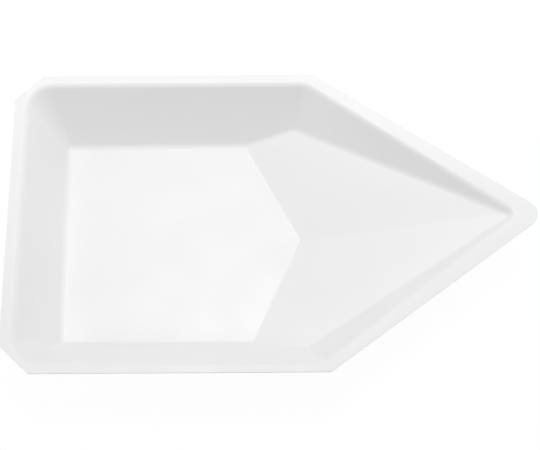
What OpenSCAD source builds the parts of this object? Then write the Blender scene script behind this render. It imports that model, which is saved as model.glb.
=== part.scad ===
// Weighing boat with a pouring spout: one thin sheet, formed into a sloped pocket inside a flat flange.
// +X points to the pouring tip, +Y across the boat and +Z up.
// The origin is under the middle of the boat's length and width, on the plane that it rests on.

/* [Outline] */
// Overall length, from the back edge to the rounded pouring tip
boat_l = 143; // [120:1:175]
// Overall width, to the sharp shoulders where the sides meet the nose edges
boat_w = 89; // [74:1:107]
// Angle of each nose edge to the centre line, in degrees
nose_angle = 35.4; // [32:0.2:39]
// Angle that each side runs in towards the back, in degrees
side_taper = 0.65; // [0:0.05:1.2]
// Length cut off each back corner, along both of its edges
corner_cut = 7.5; // [4:0.5:10]
// Radius of the flange round the pouring tip
tip_r = 4; // [2:0.5:5]
// Radius of the flange's other corners
trim_r = 1.5; // [0.4:0.1:3]
// How far the pocket lies off the middle of the trimmed outline, towards -Y
trim_offset = 0.25; // [0:0.05:0.5]

/* [Flange] */
// Width of the flange along the two sides, to the sharp rim that the lip rounds off
side_flange = 2.9; // [2.6:0.1:5]
// Width of the flange along the back, to the same rim
back_flange = 3.45; // [2.8:0.05:6]
// Distance along X from the flange's shoulder back to the rim's shoulder
shoulder_flange = 2; // [1:0.1:4]
// Distance along X from the flange's sharp point back to the rim's sharp point
point_flange = 8.6; // [7:0.1:10]

/* [Pocket] */
// Depth from the top of the flange to the floor
pocket_depth = 16.4; // [13:0.1:20]
// How far each side wall leans in between rim and floor
side_run = 10.8; // [9:0.1:13.5]
// How far the back wall leans in between rim and floor
back_run = 10; // [8:0.1:12.5]
// How far each nose wall would lean in between rim and floor
nose_run = 10.7; // [9:0.1:13]

/* [Spout] */
// Length along X of the valley between the two ramps, if it went on from the floor up to the rim
valley_l = 60.8; // [51:0.1:73]
// Angle that each ramp's lower edge turns back from straight across, in degrees
ramp_angle = 25.8; // [22:0.2:31]
// Distance along X from the rim's sharp point on to where that valley would reach the rim
valley_past = 2.8; // [2.3:0.1:3.5]

/* [Sheet] */
// Thickness of the sheet
sheet_t = 0.4; // [0.3:0.05:0.7]
// Radius of the bend where walls turn out into the flange, on the upper face
lip_r = 2; // [1:0.1:2.4]
// Radius inside the pocket where floor, ramps and walls meet
foot_r = 2.1; // [0.8:0.1:3]
// Radius between nose wall and ramp
spout_side_r = 2.5; // [1.5:0.1:3.5]
// Radius inside the end of the spout, below the lip
spout_end_r = 2; // [1:0.1:3]
// Radius of the pocket's back corners at the rim
back_corner_r = 7; // [3:0.5:8]
// Radius of the pocket's shoulder corners at the rim
shoulder_r = 4.5; // [1.2:0.1:6]
// Radius of the end of the spout at the rim
spout_tip_r = 2.1; // [1.2:0.1:3.2]

/* [Hidden] */

// Steps in each corner of a horizontal section, and in the bend of the lip
corner_steps = 8;
lip_steps = 6;
// Facets round a ball that rounds a low corner
ball_fn = 32;
// Thickness of the slices that the hulls join, and how far the cut runs past the flange
hair = 0.002;
cut_past = 1;

// Levels: the boat rests at 0
floor_z = sheet_t;
rim_z = floor_z + pocket_depth;
flange_z = rim_z - sheet_t;

// Places along X, from the back edge
sharp_point_x = boat_l + tip_r * (1 / sin(nose_angle) - 1);
shoulder_x = sharp_point_x - boat_w / 2 / tan(nose_angle);
rim_point_x = sharp_point_x - point_flange;
rim_shoulder_x = shoulder_x - shoulder_flange;
rim_half_w = boat_w / 2 - side_flange;
rim_nose_angle = atan(rim_half_w / (rim_point_x - rim_shoulder_x));

// A wall is [direction it faces away from the pocket, distance of its rim line from the origin, lean].
// The two ramps are long walls too, whose rim lines pass beyond the spout.
nose_away = 90 - rim_nose_angle;
side_away = 90 + side_taper;
ramp = [ramp_angle, (rim_point_x + valley_past) * cos(ramp_angle), valley_l * cos(ramp_angle)];
nose = [nose_away, rim_point_x * cos(nose_away), nose_run];
side = [side_away, along(side_away, [rim_shoulder_x, rim_half_w]), side_run];
back = [180, -back_flange, back_run];
// The walls that the rim follows, listed once round by direction
walls = [nose, side, back, mirrored(side), mirrored(nose)];
// Radius of the corner between each of them and the next
corner_radii = [shoulder_r, back_corner_r, back_corner_r, shoulder_r, spout_tip_r];

// Where the lip's bend begins on the steepest wall, and the levels of the slices through the bend
steepest = max([for (w = walls) steepness(w)]);
lip_z = [for (i = [0 : lip_steps]) rim_z - lip_r * (1 - cos(steepest * (1 - i / lip_steps)))];

// The same wall or edge on the other side of the centre line
function mirrored(line) = [for (i = [0 : len(line) - 1]) i == 0 ? 360 - line[0] : line[i]];

// Distance of a point from the origin, measured along a direction
function along(away, point) = [cos(away), sin(away)] * point;

// Horizontal travel of a wall for each unit of height, and its angle to the horizontal
function lean(wall) = wall[2] / pocket_depth;
function steepness(wall) = atan(1 / lean(wall));

// Distance of a wall from the origin at height z, with the sheet's face moved outwards by grow.
// Below the bend it is a plane. Inside the bend it follows an arc that ends level with the flange.
function reach(wall, z, grow) =
    let (
        bend_r = lip_r - grow,
        above_centre = z - (rim_z - lip_r),
        straight = wall[1] - lean(wall) * (rim_z - z) + grow * norm([1, lean(wall)]),
        bend = wall[1] + lip_r * tan(steepness(wall) / 2)
             - sqrt(max(0, pow(bend_r, 2) - pow(above_centre, 2)))
    )
    above_centre > bend_r * cos(steepness(wall)) ? bend : straight;

// Point where two lines meet, each given as [direction of its normal, distance from the origin]
function meeting(a, b) =
    let (turn = sin(b[0] - a[0]))
    [(a[1] * sin(b[0]) - b[1] * sin(a[0])) / turn, (b[1] * cos(a[0]) - a[1] * cos(b[0])) / turn];

// Outline inside a ring of lines, with corner i, between line i and the next, rounded to radii[i].
// Each line is [direction that it faces, distance from the origin], listed once round by direction.
function rounded(lines, radii) = [
    for (i = [0 : len(lines) - 1])
        let (
            this = lines[i],
            next = lines[(i + 1) % len(lines)],
            turn = (next[0] - this[0] + 360) % 360,
            centre = meeting([this[0], this[1] - radii[i]], [next[0], next[1] - radii[i]])
        )
        for (k = [0 : corner_steps])
            let (a = this[0] + turn * k / corner_steps)
            centre + radii[i] * [cos(a), sin(a)]
];

// Horizontal section of the pocket at height z. Its corners share their centres with the rim's.
function section(z, grow) =
    let (
        lines = [for (w = walls) [w[0], reach(w, z, grow)]],
        out = [for (i = [0 : len(walls) - 1]) lines[i][1] - walls[i][1]]
    )
    rounded(lines, [for (i = [0 : len(walls) - 1]) corner_radii[i] + (out[i] + out[(i + 1) % len(out)]) / 2]);

// Point where three walls, all moved in by r, meet
function inner_point(a, b, c, r) =
    let (
        away = [for (w = [a, b, c]) [cos(w[0]), sin(w[0]), -lean(w)]],
        d = [for (w = [a, b, c]) w[1] - lean(w) * rim_z - r * norm([1, lean(w)])]
    )
    (d[0] * cross(away[1], away[2]) + d[1] * cross(away[2], away[0]) + d[2] * cross(away[0], away[1]))
        / (away[0] * cross(away[1], away[2]));

// Point where two walls meet just above the floor, all moved in by foot_r
function floor_point(a, b) =
    let (z = floor_z + foot_r)
    concat(meeting([a[0], reach(a, z, -foot_r)], [b[0], reach(b, z, -foot_r)]), z);

// Rounded corners low in the pocket and at the end of the spout, each as [centre, radius].
// Those on one side come first, and those on the centre line after them.
side_rounds = [
    [floor_point(side, back), foot_r],
    [floor_point(ramp, side), foot_r],
    [inner_point(ramp, nose, side, spout_side_r), spout_side_r]
];
centre_rounds = [
    [floor_point(mirrored(ramp), ramp), foot_r],
    [inner_point(ramp, nose, mirrored(nose), spout_end_r), spout_end_r]
];

// Ball that reaches its full radius at both poles
module ball(r) {
    rotate_extrude($fn = ball_fn)
        polygon([for (k = [0 : ball_fn / 2]) let (a = 360 * k / ball_fn - 90) r * [cos(a), sin(a)]]);
}

module slice(z, grow) {
    translate([0, 0, z]) linear_extrude(hair) polygon(section(z, grow));
}

// The pocket's space, as far up as top. It is grown by the sheet's thickness for the sheet's lower face,
// whose bend has the same centre as the upper one's.
module pocket(grow, top) {
    levels = [for (z = lip_z) z - grow * (1 - (rim_z - z) / lip_r)];
    intersection() {
        hull() {
            for (round = side_rounds, way = [1, -1])
                translate([round[0][0], round[0][1] * way, round[0][2]]) ball(round[1] + grow);
            for (round = centre_rounds)
                translate(round[0]) ball(round[1] + grow);
            slice(levels[0] - hair, grow);
        }
        translate([-boat_l, -boat_w, levels[0] - 2 * boat_l]) cube([3 * boat_l, 2 * boat_w, 2 * boat_l]);
    }
    for (i = [0 : lip_steps - 1])
        hull() {
            slice(levels[i] - hair, grow);
            slice(levels[i + 1] - hair, grow);
        }
    hull() {
        slice(levels[lip_steps] - hair, grow);
        translate([0, 0, top - levels[lip_steps]]) slice(levels[lip_steps], grow);
    }
}

// The flat sheet round the pocket, before the pocket is cut out of it
module flange() {
    nose_edge = [90 - nose_angle, sharp_point_x * sin(nose_angle)];
    side_edge = [side_away, along(side_away, [shoulder_x, boat_w / 2])];
    back_half_w = boat_w / 2 - shoulder_x * tan(side_taper);
    cut_edge = [135, (back_half_w - corner_cut) * sin(45)];
    back_edge = [180, 0];
    edges = [
        nose_edge, side_edge, cut_edge, back_edge,
        mirrored(cut_edge), mirrored(side_edge), mirrored(nose_edge)
    ];
    tip = len(edges) - 1;
    translate([0, 0, flange_z]) linear_extrude(sheet_t)
        polygon(rounded(edges, [for (i = [0 : tip]) i == tip ? tip_r : trim_r]));
}

module boat() {
    color([0.95, 0.95, 0.94])
    translate([-boat_l / 2, 0, 0])
    difference() {
        union() {
            flange();
            translate([0, -trim_offset, 0]) pocket(sheet_t, rim_z - sheet_t / 2);
        }
        translate([0, -trim_offset, 0]) pocket(0, rim_z + cut_past);
    }
}

boat();
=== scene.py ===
"""A weighing boat with a pouring spout, formed from one thin sheet, on a pale studio floor."""

import logging
import math
from collections.abc import Callable, Iterator
from contextlib import contextmanager
from dataclasses import dataclass, field
from enum import Enum

import bmesh
import bpy
from mathutils import Matrix, Vector


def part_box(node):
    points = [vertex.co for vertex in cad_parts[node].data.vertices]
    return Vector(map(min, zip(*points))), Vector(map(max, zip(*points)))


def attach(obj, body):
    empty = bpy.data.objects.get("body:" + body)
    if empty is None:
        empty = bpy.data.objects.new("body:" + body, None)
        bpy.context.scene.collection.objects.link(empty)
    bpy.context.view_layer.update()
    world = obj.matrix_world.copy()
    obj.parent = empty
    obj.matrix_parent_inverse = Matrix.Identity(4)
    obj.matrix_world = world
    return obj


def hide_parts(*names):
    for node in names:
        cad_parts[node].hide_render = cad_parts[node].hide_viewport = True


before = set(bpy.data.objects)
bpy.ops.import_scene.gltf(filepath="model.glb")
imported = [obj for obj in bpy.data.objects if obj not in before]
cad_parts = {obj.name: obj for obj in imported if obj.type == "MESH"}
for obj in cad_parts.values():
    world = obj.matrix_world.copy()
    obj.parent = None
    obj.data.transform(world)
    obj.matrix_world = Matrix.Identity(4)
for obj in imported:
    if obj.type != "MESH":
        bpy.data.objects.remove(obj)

MM = 0.001
# A point nearer than this to a cut lies on it
ON_THE_CUT = 0.001 * MM
# Points of the finished face that are nearer than this to each other are merged
TINY = 0.08 * MM
# Most that a bend turns from one facet to the next
FACET_TURN = math.radians(7.5)
# Values that a noise texture seldom leaves
NOISE_LOW, NOISE_HIGH = 0.3, 0.7
DOWN = Vector((0.0, 0.0, -1.0))

log = logging.getLogger("weighing_boat")

Line = tuple[float, float]
Plane = tuple[Vector, float]


def direction(degrees: float) -> Vector:
    """Return the level unit vector at an angle from +X."""
    return Vector((math.cos(math.radians(degrees)), math.sin(math.radians(degrees)), 0.0))


def meeting(a: Line, b: Line) -> Vector:
    """Find where two level lines cross.

    Args:
        a: The first line, as the direction in degrees that it faces and its distance from the origin.
        b: The second line, in the same form.

    Returns:
        The crossing point, at height 0.
    """
    facing_a, facing_b = direction(a[0]), direction(b[0])
    turn = facing_a.x * facing_b.y - facing_a.y * facing_b.x
    x = (a[1] * facing_b.y - b[1] * facing_a.y) / turn
    y = (b[1] * facing_a.x - a[1] * facing_b.x) / turn
    return Vector((x, y, 0.0))


def touching(radius: float, *planes: Plane) -> Vector:
    """Find the centre of a ball that touches three planes from inside.

    Args:
        radius: The ball's radius.
        *planes: The planes, each as its outward normal and its distance from the origin.

    Returns:
        The centre.
    """
    normals = Matrix([normal for normal, _ in planes])
    return normals.inverted() @ Vector([distance - radius for _, distance in planes])


def corner_lines(a: Line, b: Line, radius: float, steps: int) -> list[Line]:
    """List the lines that touch the arc which rounds the corner between two lines.

    Args:
        a: The line before the corner, as (direction it faces, distance from the origin).
        b: The line after it, going round towards larger directions.
        radius: Radius of the arc.
        steps: How many tangent lines the arc gets between the two.

    Returns:
        The tangent lines, in order, without a and b themselves.
    """
    centre = meeting((a[0], a[1] - radius), (b[0], b[1] - radius))
    turn = (b[0] - a[0]) % 360.0
    facings = [a[0] + turn * (i + 1) / (steps + 1) for i in range(steps)]
    return [(facing, centre.dot(direction(facing)) + radius) for facing in facings]


def mirrored(line: Line) -> Line:
    """Return the same line on the other side of the centre plane."""
    return (360.0 - line[0]) % 360.0, line[1]


def far(plane: Plane) -> Plane:
    """Return the same plane on the other side of the centre plane."""
    normal, distance = plane
    return Vector((normal.x, -normal.y, normal.z)), distance


def facets(a: Vector, b: Vector) -> int:
    """Return how many steps a bend takes from one normal to another."""
    return max(1, math.ceil(a.angle(b) / FACET_TURN))


def fold(a: Plane, b: Plane, radius: float) -> list[Plane]:
    """List the facets that round the fold between two planes.

    Args:
        a: The plane on one side of the fold.
        b: The plane on its other side.
        radius: Radius of the bend.

    Returns:
        The facets' planes.
    """
    along = a[0].cross(b[0]).normalized()
    axis = touching(radius, a, b, (along, 0.0))
    steps = facets(a[0], b[0])
    normals = [a[0].slerp(b[0], step / steps) for step in range(1, steps)]
    return [(normal, normal.dot(axis) + radius) for normal in normals]


def ball(
    centre: Vector, radius: float, low: tuple[Vector, Vector], high: tuple[Vector, Vector]
) -> list[Plane]:
    """List the facets of one patch of a ball.

    Args:
        centre: The ball's centre.
        radius: Its radius.
        low: Normals at the two ends of the patch's lower side.
        high: Normals at the two ends of its upper side.

    Returns:
        The facets' planes, without those on the patch's four sides.
    """
    across = max(facets(*low), facets(*high))
    up = max(facets(low[0], high[0]), facets(low[1], high[1]))
    planes = []
    for column in range(1, across):
        bottom, top = low[0].slerp(low[1], column / across), high[0].slerp(high[1], column / across)
        for row in range(1, up):
            normal = bottom.slerp(top, row / up)
            planes.append((normal, normal.dot(centre) + radius))
    return planes


@contextmanager
def editing(piece: bpy.types.Object) -> Iterator[bmesh.types.BMesh]:
    """Open one piece in edit mode, with nothing in it selected.

    Args:
        piece: The mesh object to edit.

    Yields:
        The mesh under edit, for selecting its faces and edges by place or normal.
    """
    pick_only(piece)
    bpy.ops.object.mode_set(mode="EDIT")
    bpy.ops.mesh.select_all(action="DESELECT")
    yield bmesh.from_edit_mesh(piece.data)
    bpy.ops.object.mode_set(mode="OBJECT")


def pick_only(piece: bpy.types.Object) -> None:
    """Deselect everything, then select one piece and make it active.

    Args:
        piece: The piece.
    """
    bpy.ops.object.select_all(action="DESELECT")
    piece.select_set(True)
    bpy.context.view_layer.objects.active = piece


def select_edges(mesh: bmesh.types.BMesh, wanted: Callable[[bmesh.types.BMEdge], bool]) -> None:
    """Select just the edges that pass a test.

    Args:
        mesh: The mesh under edit.
        wanted: The test of one edge.
    """
    bpy.ops.mesh.select_all(action="DESELECT")
    bpy.ops.mesh.select_mode(type="EDGE")
    for edge in mesh.edges:
        edge.select_set(wanted(edge))


def cut(co: Vector, facing: Vector, fill: bool = False, keep_all: bool = False) -> None:
    """Cut the whole mesh under edit with a plane, and drop what lies in front of it.

    Args:
        co: A point of the plane.
        facing: The plane's normal.
        fill: Whether the cut is closed with a face.
        keep_all: Whether both halves stay, with new edges along the cut.
    """
    bpy.ops.mesh.select_all(action="SELECT")
    bpy.ops.mesh.bisect(
        plane_co=co, plane_no=facing, use_fill=fill, clear_outer=not keep_all, threshold=ON_THE_CUT
    )


class Bend(Enum):
    """The bends of the sheet, each with its radius on the upper face, in metres."""

    LIP = 2.0 * MM
    FOOT = 2.1 * MM
    SPOUT_END = 2.0 * MM
    SPOUT_SIDE = 2.5 * MM
    SHOULDER = 4.5 * MM
    VALLEY = 6.0 * MM


@dataclass(frozen=True)
class Wall:
    """One flat wall or ramp of the pocket.

    Attributes:
        facing: Direction that it faces away from the pocket, in degrees from +X.
        rim: Distance of its line in the flange's plane from the origin.
        run: How far it leans in between the flange's plane and the floor's.
        depth: Height of the flange's plane over the floor's.
    """

    facing: float
    rim: float
    run: float
    depth: float

    @property
    def steepness(self) -> float:
        """Angle to the level, in radians."""
        return math.atan(self.depth / self.run)

    def plane(self, top: float) -> Plane:
        """Work out its plane.

        Args:
            top: Height of the flange's upper face.

        Returns:
            Its outward normal and its distance from the origin.
        """
        level, down = math.sin(self.steepness), math.cos(self.steepness)
        normal = direction(self.facing) * level - Vector((0.0, 0.0, down))
        return normal, self.rim * level - top * down


@dataclass(frozen=True)
class Flange:
    """Sizes of the flat border, in metres and degrees.

    Attributes:
        nose_angle: Angle of each nose edge to the centre line.
        side_taper: Angle that each side runs in towards the back.
        corner_cut: Length cut off each back corner, along both of its edges.
        tip_radius: Radius of the pouring tip.
        trim_radius: Radius of the other corners.
        tip_steps: Tangent cuts that round the tip.
        trim_steps: Tangent cuts that round each of the other corners.
    """

    nose_angle: float = 35.4
    side_taper: float = 0.65
    corner_cut: float = 7.5 * MM
    tip_radius: float = 4.0 * MM
    trim_radius: float = 1.5 * MM
    tip_steps: int = 15
    trim_steps: int = 4

    def outline(self, back: float, front: float, half_width: float) -> list[Line]:
        """List the straight trim cuts and the tangents that round their corners.

        Args:
            back: Distance from the origin back to the back edge.
            front: Distance from the origin to the rounded tip.
            half_width: Distance from the centre plane to each side.

        Returns:
            The cuts, as (direction that each faces, distance from the origin).
        """
        nose = (90.0 - self.nose_angle, self.sharp_tip(front) * math.sin(math.radians(self.nose_angle)))
        shoulder = self.shoulder(front, half_width)
        side = (self.side_facing, Vector((shoulder, half_width, 0.0)).dot(direction(self.side_facing)))
        back_half_width = half_width - (shoulder + back) * math.tan(math.radians(self.side_taper))
        corner = (135.0, (back_half_width + back - self.corner_cut) / math.sqrt(2.0))
        edges = [nose, side, corner, (180.0, back), mirrored(corner), mirrored(side), mirrored(nose)]
        cuts = list(edges)
        for before, after in zip(edges, edges[1:]):
            cuts += corner_lines(before, after, self.trim_radius, self.trim_steps)
        return cuts + corner_lines(edges[-1], nose, self.tip_radius, self.tip_steps)

    @property
    def side_facing(self) -> float:
        """Direction that the left side faces, in degrees from +X."""
        return 90.0 + self.side_taper

    def shoulder(self, front: float, half_width: float) -> float:
        """Return the place along X where the nose edges meet the sides."""
        return self.sharp_tip(front) - half_width / math.tan(math.radians(self.nose_angle))

    def sharp_tip(self, front: float) -> float:
        """Return where the nose edges would meet on the centre line."""
        return front + self.tip_radius * (1.0 / math.sin(math.radians(self.nose_angle)) - 1.0)


@dataclass(frozen=True)
class Pocket:
    """Sizes of the pocket and its spout, in metres and degrees.

    Widths of the flange are measured to the sharp rim, which the lip then rounds off.

    Attributes:
        side_flange: Width of the flange along the sides.
        back_flange: Width of the flange along the back.
        shoulder_flange: Distance along X from the flange's shoulder back to the rim's.
        point_flange: Distance along X from the flange's sharp point back to the rim's.
        side_run: How far each side wall leans in between rim and floor.
        back_run: How far the back wall leans in.
        nose_run: How far each nose wall leans in.
        valley_length: Length along X of the valley, if it went on from the floor up to the rim.
        valley_past: Distance along X from the rim's sharp point to where that valley would end.
        ramp_angle: Angle that each ramp's lower edge turns back from straight across.
        trim_offset: How far the pocket lies off the middle of the trimmed outline.
        back_corner_radius: Radius of the back corners at the rim.
    """

    side_flange: float = 2.9 * MM
    back_flange: float = 3.45 * MM
    shoulder_flange: float = 2.0 * MM
    point_flange: float = 8.6 * MM
    side_run: float = 10.8 * MM
    back_run: float = 10.0 * MM
    nose_run: float = 10.7 * MM
    valley_length: float = 60.8 * MM
    valley_past: float = 2.8 * MM
    ramp_angle: float = 25.8
    trim_offset: float = 0.25 * MM
    back_corner_radius: float = 7.0 * MM


@dataclass(frozen=True)
class RimLine:
    """One straight stretch of the pocket's rim, and how it runs up round the lip.

    Attributes:
        facing: Direction that it faces away from the pocket, in degrees from +X.
        distance: Distance of its wall's plane from the origin, where that plane meets the flange's.
        steepness: Angle of its wall to the level, in radians.
    """

    facing: float
    distance: float
    steepness: float

    def reach(self, below: float, radius: float) -> float:
        """Work out how far out the sheet's upper face is at one height.

        Args:
            below: How far the height is below the flange's upper face.
            radius: Radius of the lip's bend.

        Returns:
            The distance from the origin.
        """
        if below > radius * (1.0 - math.cos(self.steepness)):
            return self.distance - below / math.tan(self.steepness)
        inward = math.sqrt(max(0.0, radius**2 - (radius - below) ** 2))
        return self.distance + radius * math.tan(self.steepness / 2.0) - inward


@dataclass
class FormedSheet:
    """The boat itself: one sheet with its flange, walls, floor and ramps.

    Attributes:
        low: Lowest corner of the boat's box.
        high: Highest corner of the boat's box.
        flange: Sizes of the border.
        pocket: Sizes of the pocket and its spout.
        thickness: Thickness of the sheet.
        lip_steps: Faces across the lip's bend.
        middle_share: Where the middle lies between the origin and the back edge.
        spread: How many times as wide as the rim the flange is before it is trimmed.
        cell: Size of the grid that divides the flat faces.
        break_width: Width that the trimmed edge's rounding takes off.
        break_steps: Faces across that rounding.
        break_angle: Least turn of an edge that is rounded, in degrees.
    """

    low: Vector
    high: Vector
    flange: Flange = field(default_factory=Flange)
    pocket: Pocket = field(default_factory=Pocket)
    thickness: float = 0.4 * MM
    lip_steps: int = 8
    middle_share: float = 0.25
    spread: float = 2.0
    cell: float = 4.0 * MM
    break_width: float = 0.06 * MM
    break_steps: int = 2
    break_angle: float = 60.0

    @property
    def depth(self) -> float:
        """Depth from the flange's upper face to the floor's."""
        return self.high.z - self.low.z - self.thickness

    @property
    def floor(self) -> float:
        """Height of the floor's upper face."""
        return self.low.z + self.thickness

    @property
    def middle(self) -> Vector:
        """A point in the flange's plane that all of the rim is seen from."""
        return Vector((self.low.x * self.middle_share, 0.0, self.high.z))

    @property
    def rim_point(self) -> float:
        """Place along X of the rim's sharp point."""
        return self.flange.sharp_tip(self.high.x) - self.pocket.point_flange

    def nose(self) -> Wall:
        """Work out the nose wall on the left.

        Returns:
            The wall.
        """
        size = self.pocket
        shoulder = self.flange.shoulder(self.high.x, self.high.y) - size.shoulder_flange
        rim_side = self.high.y - size.side_flange
        facing = 90.0 - math.degrees(math.atan(rim_side / (self.rim_point - shoulder)))
        return Wall(facing, self.rim_point * math.cos(math.radians(facing)), size.nose_run, self.depth)

    def side(self) -> Wall:
        """Work out the side wall on the left, which is parallel to the flange's side edge.

        Returns:
            The wall.
        """
        size = self.pocket
        shoulder = self.flange.shoulder(self.high.x, self.high.y) - size.shoulder_flange
        facing = self.flange.side_facing
        rim = Vector((shoulder, self.high.y - size.side_flange, 0.0)).dot(direction(facing))
        return Wall(facing, rim, size.side_run, self.depth)

    def back(self) -> Wall:
        """Work out the back wall."""
        return Wall(180.0, -self.low.x - self.pocket.back_flange, self.pocket.back_run, self.depth)

    def ramp(self) -> Wall:
        """Work out the ramp on the left.

        Returns:
            The ramp.
        """
        size = self.pocket
        level = math.cos(math.radians(size.ramp_angle))
        rim = (self.rim_point + size.valley_past) * level
        return Wall(size.ramp_angle, rim, size.valley_length * level, self.depth)

    def faces(self) -> list[Plane]:
        """List the planes of the pocket's walls and ramps, and the facets of its rounded folds.

        Returns:
            The planes. The block's own lower face is the floor.
        """
        floor = (DOWN, -self.floor)
        walls = self.nose(), self.side(), self.back(), self.ramp()
        nose, side, back, ramp = (wall.plane(self.high.z) for wall in walls)
        foot, spout_side, spout_end = Bend.FOOT.value, Bend.SPOUT_SIDE.value, Bend.SPOUT_END.value
        left = [nose, side, ramp]
        left += fold(floor, side, foot) + fold(floor, ramp, foot) + fold(ramp, side, foot)
        left += fold(ramp, nose, spout_side) + fold(side, nose, Bend.SHOULDER.value)
        left += self.back_corner(floor, side, back)
        left += ball(touching(foot, floor, ramp, side), foot, (DOWN, DOWN), (ramp[0], side[0]))
        low, high = (ramp[0], ramp[0]), (side[0], nose[0])
        left += ball(touching(spout_side, ramp, side, nose), spout_side, low, high)
        middle = [back] + fold(floor, back, foot) + fold(ramp, far(ramp), Bend.VALLEY.value)
        middle += fold(nose, far(nose), spout_end)
        low, high = (far(ramp)[0], ramp[0]), (far(nose)[0], nose[0])
        middle += ball(touching(spout_end, ramp, nose, far(nose)), spout_end, low, high)
        return left + [far(plane) for plane in left] + middle

    def back_corner(self, floor: Plane, side: Plane, back: Plane) -> list[Plane]:
        """Work out the facets of a back corner, which narrows from the rim down to a ball at its foot.

        Args:
            floor: Plane of the floor.
            side: Plane of the side wall.
            back: Plane of the back wall.

        Returns:
            The facets' planes.
        """
        radius = Bend.FOOT.value
        centre = touching(radius, floor, side, back)
        walls = self.side(), self.back()
        rim = [(wall.facing, wall.rim) for wall in walls]
        steps = facets(direction(rim[0][0]), direction(rim[1][0])) - 1
        planes = []
        for facing, distance in corner_lines(*rim, self.pocket.back_corner_radius, steps):
            out, up = distance - centre.dot(direction(facing)), self.high.z - centre.z
            steepness = math.acos(-radius / math.hypot(out, up)) - math.atan2(out, up)
            normal = direction(facing) * math.sin(steepness) + DOWN * math.cos(steepness)
            rows = facets(DOWN, normal)
            for row in range(rows):
                turned = normal.slerp(DOWN, row / rows)
                planes.append((turned, turned.dot(centre) + radius))
        return planes

    def build(self) -> bpy.types.Object:
        """Model the sheet.

        Returns:
            The finished piece, at the origin, with its place in its mesh.
        """
        sheet = self.block()
        self.turn_out_lip(sheet)
        self.shift_pocket(sheet)
        self.add_flange(sheet)
        self.divide(sheet)
        self.thicken(sheet)
        return sheet

    def block(self) -> bpy.types.Object:
        """Cut the pocket's space, closed at the top, out of a block that is as deep as the pocket.

        Returns:
            The pocket's space, as a piece.
        """
        size = self.high - self.low
        bpy.ops.object.select_all(action="DESELECT")
        bpy.ops.mesh.primitive_cube_add(
            size=1.0,
            location=(0.0, 0.0, (self.floor + self.high.z) / 2.0),
            scale=(size.x, size.y, self.depth),
        )
        bpy.ops.object.transform_apply(location=True, rotation=True, scale=True)
        piece = bpy.context.active_object
        piece.name = piece.data.name = "formed_sheet"
        with editing(piece):
            for normal, distance in self.faces():
                cut(normal * distance, normal, fill=True)
        return piece

    def turn_out_lip(self, piece: bpy.types.Object) -> None:
        """Open the pocket where its lip's bend begins, and carry the rim up and out round the bend.

        Args:
            piece: The pocket's space.
        """
        radius = Bend.LIP.value
        steepest = max(wall.steepness for wall in (self.nose(), self.side(), self.back()))
        turns = [steepest * (1.0 - step / self.lip_steps) for step in range(self.lip_steps + 1)]
        falls = [radius * (1.0 - math.cos(turn)) for turn in turns]
        with editing(piece):
            cut(Vector((0.0, 0.0, self.high.z - falls[0])), -DOWN)
            mesh = bmesh.from_edit_mesh(piece.data)
            rim = self.rim_lines(mesh, falls[0])
            for last_fall, fall in zip(falls, falls[1:]):
                select_edges(mesh, lambda edge: edge.is_boundary)
                bpy.ops.mesh.extrude_edges_move()
                mesh = bmesh.from_edit_mesh(piece.data)
                for i, vert in enumerate(self.round_middle([v for v in mesh.verts if v.select])):
                    before, after = rim[i - 1], rim[i]
                    outward = (direction(before.facing) + direction(after.facing)).normalized()
                    travel = sum(
                        line.reach(fall, radius) - line.reach(last_fall, radius) for line in (before, after)
                    )
                    vert.co += outward * travel / 2.0 / outward.dot(direction(after.facing))
                    vert.co.z += last_fall - fall
                bmesh.update_edit_mesh(piece.data)

    def rim_lines(self, mesh: bmesh.types.BMesh, below: float) -> list[RimLine]:
        """Read the rim's straight stretches off the open pocket.

        Args:
            mesh: The pocket, open at the top.
            below: How far its open edge is below the flange's upper face.

        Returns:
            The stretches, each between a point of the sorted loop and the next.
        """
        loop = self.round_middle([v for v in mesh.verts if v.is_boundary])
        lines = []
        for start, end in zip(loop, loop[1:] + loop[:1]):
            edge = next(e for e in start.link_edges if end in e.verts)
            normal = edge.link_faces[0].normal
            steepness = math.acos(abs(normal.z))
            facing = Vector((normal.x, normal.y, 0.0)).normalized()
            distance = facing.dot(start.co + end.co) / 2.0 + below / math.tan(steepness)
            lines.append(RimLine(math.degrees(math.atan2(facing.y, facing.x)), distance, steepness))
        return lines

    def round_middle(self, verts: list[bmesh.types.BMVert]) -> list[bmesh.types.BMVert]:
        """Sort the points of a loop by their direction from the middle."""
        return sorted(verts, key=lambda v: math.atan2(v.co.y - self.middle.y, v.co.x - self.middle.x))

    def shift_pocket(self, piece: bpy.types.Object) -> None:
        """Move the pocket off the centre plane, which is the trimmed outline's.

        Args:
            piece: The open pocket with its lip.
        """
        with editing(piece):
            bpy.ops.mesh.select_all(action="SELECT")
            bpy.ops.transform.translate(value=(0.0, -self.pocket.trim_offset, 0.0))

    def add_flange(self, piece: bpy.types.Object) -> None:
        """Spread the rim out level past the boat's box, and trim it to the flange's outline.

        Args:
            piece: The open pocket with its lip.
        """
        with editing(piece) as mesh:
            select_edges(mesh, lambda edge: edge.is_boundary)
            bpy.ops.mesh.extrude_edges_move()
            bpy.ops.transform.resize(value=(self.spread, self.spread, 1.0), center_override=self.middle)
            for facing, distance in self.flange.outline(-self.low.x, self.high.x, self.high.y):
                cut(direction(facing) * distance, direction(facing))

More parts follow.
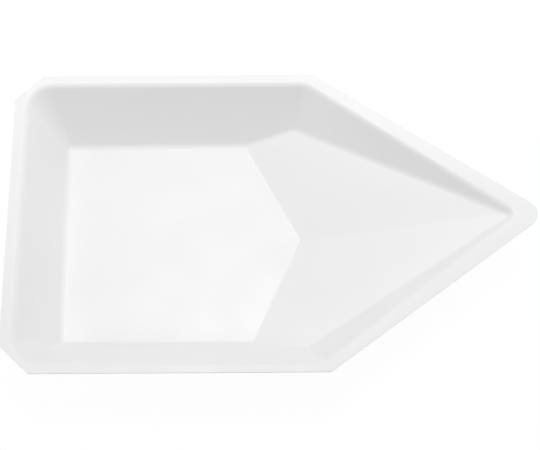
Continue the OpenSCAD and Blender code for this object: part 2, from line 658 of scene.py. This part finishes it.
    def divide(self, piece: bpy.types.Object) -> None:
        """Divide the flat faces with a square grid, and turn every face up.

        Args:
            piece: The sheet's upper face.
        """
        with editing(piece):
            for axis in (Vector((1.0, 0.0, 0.0)), Vector((0.0, 1.0, 0.0))):
                last = int(axis.dot(self.high) / self.cell)
                for i in range(-last, last + 1):
                    cut(axis * i * self.cell, axis, keep_all=True)
            bpy.ops.mesh.select_all(action="SELECT")
            bpy.ops.mesh.remove_doubles(threshold=TINY)
            bpy.ops.mesh.normals_make_consistent(inside=False)
            mesh = bmesh.from_edit_mesh(piece.data)
            highest = max(mesh.faces, key=lambda face: face.calc_center_median().z)
            if highest.normal.z < 0.0:
                bpy.ops.mesh.flip_normals()

    def thicken(self, piece: bpy.types.Object) -> None:
        """Give the sheet its thickness below the modelled face, and break its trimmed edge.

        Args:
            piece: The sheet's upper face.
        """
        wall = piece.modifiers.new("wall", "SOLIDIFY")
        wall.thickness = self.thickness
        wall.offset = -1.0
        wall.use_even_offset = True
        wall.use_quality_normals = True
        edge = piece.modifiers.new("trimmed edge", "BEVEL")
        edge.limit_method = "ANGLE"
        edge.angle_limit = math.radians(self.break_angle)
        edge.width = self.break_width
        edge.segments = self.break_steps
        shade = piece.modifiers.new("flat faces stay flat", "WEIGHTED_NORMAL")
        shade.keep_sharp = True
        bpy.ops.object.shade_smooth()
        for modifier in (wall, edge, shade):
            bpy.ops.object.modifier_apply(modifier=modifier.name)


@dataclass(frozen=True)
class NodeTree:
    """A node tree under construction.

    Attributes:
        tree: The tree.
    """

    tree: bpy.types.NodeTree

    def add(self, kind: str, **sockets: object) -> bpy.types.Node:
        """Add one node.

        Args:
            kind: The node's type, without its "ShaderNode".
            **sockets: Values or source sockets of its inputs, with _ for a space in their names.

        Returns:
            The node.
        """
        node = self.tree.nodes.new("ShaderNode" + kind)
        for name, value in sockets.items():
            self.feed(node.inputs[name.replace("_", " ")], value)
        return node

    def join(self, kind: str, *sources: bpy.types.NodeSocket) -> bpy.types.Node:
        """Add one node whose inputs are told apart by their order only.

        Args:
            kind: The node's type, without its "ShaderNode".
            *sources: The source sockets of its inputs, in order.

        Returns:
            The node.
        """
        node = self.tree.nodes.new("ShaderNode" + kind)
        for socket, source in zip(node.inputs, sources):
            self.feed(socket, source)
        return node

    def feed(self, socket: bpy.types.NodeSocket, value: object) -> None:
        """Link a source into a socket, or set the socket's own value.

        Args:
            socket: The input.
            value: The source socket, or the value.
        """
        if isinstance(value, bpy.types.NodeSocket):
            self.tree.links.new(value, socket)
        else:
            socket.default_value = value


def grey(tone: float) -> tuple[float, float, float, float]:
    """Return an opaque grey of one tone."""
    return tone, tone, tone, 1.0


def new_material(name: str) -> tuple[bpy.types.Material, NodeTree]:
    """Make an empty node material.

    Args:
        name: Its name.

    Returns:
        The material and its tree.
    """
    material = bpy.data.materials.new(name)
    material.use_nodes = True
    material.node_tree.nodes.clear()
    return material, NodeTree(material.node_tree)


@dataclass(frozen=True)
class SatinPolystyrene:
    """Opaque white polystyrene sheet, satin, with the faint marks of rolling and forming.

    Attributes:
        whiteness: Its mean tone.
        clouding: How far the tone falls and rises from place to place.
        clouds: Number of cloudy patches to the metre.
        roughness: Its mean roughness.
        roughness_spread: How much smoother and rougher it gets from place to place.
        rough_patches: Number of smoother and rougher patches to the metre.
        refraction: Its index of refraction.
        grain: Number of bumps to the metre in its satin surface.
        grain_height: Height of those bumps, in metres.
    """

    whiteness: float = 0.90
    clouding: float = 0.004
    clouds: float = 45.0
    roughness: float = 0.42
    roughness_spread: float = 0.05
    rough_patches: float = 90.0
    refraction: float = 1.59
    grain: float = 1400.0
    grain_height: float = 0.004 * MM

    def material(self) -> bpy.types.Material:
        """Build the material.

        Returns:
            The material, which reads Object coordinates only.
        """
        material, nodes = new_material("satin_white_polystyrene")
        place = nodes.add("TexCoord").outputs["Object"]
        tone = self.patches(nodes, place, self.clouds, self.whiteness, self.clouding)
        roughness = self.patches(nodes, place, self.rough_patches, self.roughness, self.roughness_spread)
        colour = nodes.add("CombineColor", Red=tone, Green=tone, Blue=tone)
        grain = nodes.add("TexNoise", Vector=place, Scale=self.grain, Detail=2.0, Roughness=0.5)
        bump = nodes.add("Bump", Height=grain.outputs["Fac"], Distance=self.grain_height, Strength=1.0)
        shader = nodes.add(
            "BsdfPrincipled",
            Base_Color=colour.outputs[0],
            Roughness=roughness,
            IOR=self.refraction,
            Normal=bump.outputs[0],
        )
        nodes.add("OutputMaterial", Surface=shader.outputs[0])
        return material

    def patches(
        self, nodes: NodeTree, place: bpy.types.NodeSocket, scale: float, middle: float, spread: float
    ) -> bpy.types.NodeSocket:
        """Add soft patches of a value.

        Args:
            nodes: The tree to add them to.
            place: The coordinates to use.
            scale: Number of patches to the metre.
            middle: The value's mean.
            spread: How far it goes below and above.

        Returns:
            The output that gives the value.
        """
        noise = nodes.add("TexNoise", Vector=place, Scale=scale, Detail=3.0, Roughness=0.55)
        value = nodes.add(
            "MapRange",
            Value=noise.outputs["Fac"],
            From_Min=NOISE_LOW,
            From_Max=NOISE_HIGH,
            To_Min=middle - spread,
            To_Max=middle + spread,
        )
        return value.outputs[0]


@dataclass(frozen=True)
class StudioPaper:
    """Matt white paper under the boat, which the camera sees as white with a faint shadow.

    Attributes:
        whiteness: Share of the light that it throws back at the boat.
        glow: Even part of what the camera sees of it.
        shading: Share of what the camera sees that follows the light on it.
    """

    whiteness: float = 0.8
    glow: float = 0.94
    shading: float = 0.08

    def material(self) -> bpy.types.Material:
        """Build the material.

        Returns:
            The material.
        """
        material, nodes = new_material("studio_paper")
        paper = nodes.add("BsdfDiffuse", Color=grey(self.whiteness))
        seen_paper = nodes.add("BsdfDiffuse", Color=grey(self.shading))
        glow = nodes.add("Emission", Color=grey(1.0), Strength=self.glow)
        seen = nodes.join("AddShader", seen_paper.outputs[0], glow.outputs[0])
        mix = nodes.join("MixShader", seen_by_eye(nodes), paper.outputs[0], seen.outputs[0])
        nodes.add("OutputMaterial", Surface=mix.outputs[0])
        return material


def seen_by_eye(nodes: NodeTree) -> bpy.types.NodeSocket:
    """Add nodes that give 1 for a ray straight from the camera, off a mirror or through glass.

    Args:
        nodes: The tree to add them to.

    Returns:
        The output to use.
    """
    ray = nodes.add("LightPath").outputs
    seen = ray["Is Camera Ray"]
    for kind in ("Is Glossy Ray", "Is Transmission Ray"):
        either = nodes.join("Math", seen, ray[kind])
        either.operation = "MAXIMUM"
        seen = either.outputs[0]
    return seen


@dataclass(frozen=True)
class Softbox:
    """A square area lamp that faces the boat.

    Attributes:
        name: Its name.
        azimuth: Its direction from the boat, in degrees from +X.
        elevation: Its height over the horizon, in degrees.
        distance: Its distance from the boat.
        size: Length of its sides.
        power: Its power in watts.
    """

    name: str
    azimuth: float
    elevation: float
    distance: float
    size: float
    power: float

    def hang(self) -> bpy.types.Object:
        """Hang the lamp, aimed at the origin.

        Returns:
            The lamp.
        """
        height = math.radians(self.elevation)
        away = direction(self.azimuth) * math.cos(height) - DOWN * math.sin(height)
        bpy.ops.object.select_all(action="DESELECT")
        bpy.ops.object.light_add(type="AREA", location=away * self.distance)
        lamp = bpy.context.active_object
        lamp.name = lamp.data.name = self.name
        lamp.rotation_euler = (-away).to_track_quat("-Z", "Y").to_euler()
        lamp.data.shape = "SQUARE"
        lamp.data.size = self.size
        lamp.data.energy = self.power
        lamp.visible_camera = False
        return lamp


@dataclass(frozen=True)
class Studio:
    """The floor, the even light of the room and the lamps.

    Attributes:
        floor_size: Length of the floor's sides.
        floor_gap: How far the floor is below the boat.
        room_light: Strength of the room's even light.
        lamps: The lamps.
        paper: The floor's paper.
    """

    floor_size: float = 6.0
    floor_gap: float = 0.02 * MM
    room_light: float = 0.248
    lamps: tuple[Softbox, ...] = (
        Softbox("top_softbox", 90.0, 70.0, 0.80, 0.30, 2.035),
        Softbox("front_softbox", -90.0, 55.0, 1.50, 0.60, 3.77),
        Softbox("front_right_softbox", -45.0, 25.0, 1.50, 0.60, 1.29),
        Softbox("back_edge_light", 180.0, 15.0, 0.24, 0.15, 0.1125),
        Softbox("tip_edge_light", 30.0, 15.0, 0.24, 0.15, 0.166),
        Softbox("far_left_edge_light", 120.0, 20.0, 0.16, 0.10, 0.0334),
        Softbox("far_right_edge_light", 60.0, 55.0, 0.16, 0.10, 0.0190),
    )
    paper: StudioPaper = field(default_factory=StudioPaper)

    def build(self) -> None:
        """Set up the whole studio."""
        self.lay_floor()
        self.light_room()
        for lamp in self.lamps:
            lamp.hang()
            log.info("hung %s", lamp.name)

    def lay_floor(self) -> bpy.types.Object:
        """Lay the paper floor just under the boat.

        Returns:
            The floor.
        """
        bpy.ops.object.select_all(action="DESELECT")
        bpy.ops.mesh.primitive_plane_add(size=self.floor_size, location=(0.0, 0.0, -self.floor_gap))
        floor = bpy.context.active_object
        floor.name = floor.data.name = "studio_floor"
        bpy.ops.object.transform_apply(location=True, rotation=True, scale=True)
        floor.data.materials.append(self.paper.material())
        return floor

    def light_room(self) -> None:
        """Give the room its even light, and a white backdrop behind the floor."""
        world = bpy.data.worlds.new("studio_room")
        bpy.context.scene.world = world
        world.use_nodes = True
        world.node_tree.nodes.clear()
        nodes = NodeTree(world.node_tree)
        light = nodes.add("Background", Color=grey(1.0), Strength=self.room_light)
        backdrop = nodes.add("Background", Color=grey(1.0), Strength=1.0)
        mix = nodes.join("MixShader", seen_by_eye(nodes), light.outputs[0], backdrop.outputs[0])
        nodes.add("OutputWorld", Surface=mix.outputs[0])


@dataclass(frozen=True)
class Viewpoint:
    """Where the camera stands, and how it is held.

    Attributes:
        place: The camera's place.
        aim: A point on its line of sight.
        tilt: How far its right side is raised, in degrees.
        lens: Its focal length, in millimetres.
        sensor: Width of its sensor, in millimetres.
        nearest: Distance at which its view begins.
    """

    place: tuple[float, float, float] = (-24.998 * MM, -133.078 * MM, 286.603 * MM)
    aim: tuple[float, float, float] = (-2.119 * MM, -3.248 * MM, 16.8 * MM)
    tilt: float = 8.583
    lens: float = 74.90
    sensor: float = 36.0
    nearest: float = 10.0 * MM

    def set_up(self) -> bpy.types.Object:
        """Make the camera, and make it the scene's own.

        Returns:
            The camera.
        """
        place = Vector(self.place)
        sight = (Vector(self.aim) - place).to_track_quat("-Z", "Y")
        bpy.ops.object.select_all(action="DESELECT")
        bpy.ops.object.camera_add(location=place)
        camera = bpy.context.active_object
        camera.name = camera.data.name = "camera"
        turn = sight.to_matrix() @ Matrix.Rotation(math.radians(self.tilt), 3, "Z")
        camera.rotation_euler = turn.to_euler()
        camera.data.sensor_width = self.sensor
        camera.data.lens = self.lens
        camera.data.clip_start = self.nearest
        bpy.context.scene.camera = camera
        return camera


def main() -> None:
    """Build the boat, then the studio round it."""
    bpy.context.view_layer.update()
    low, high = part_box("boat")
    sheet = FormedSheet(low, high).build()
    sheet.data.materials.clear()
    sheet.data.materials.append(SatinPolystyrene().material())
    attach(sheet, "root")
    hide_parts("boat")
    log.info("formed %s: %d faces", sheet.name, len(sheet.data.polygons))
    Studio().build()
    Viewpoint().set_up()
    bpy.context.scene.view_settings.view_transform = "Standard"


if __name__ == "__main__":
    logging.basicConfig(level=logging.INFO, format="%(name)s: %(message)s")
    main()
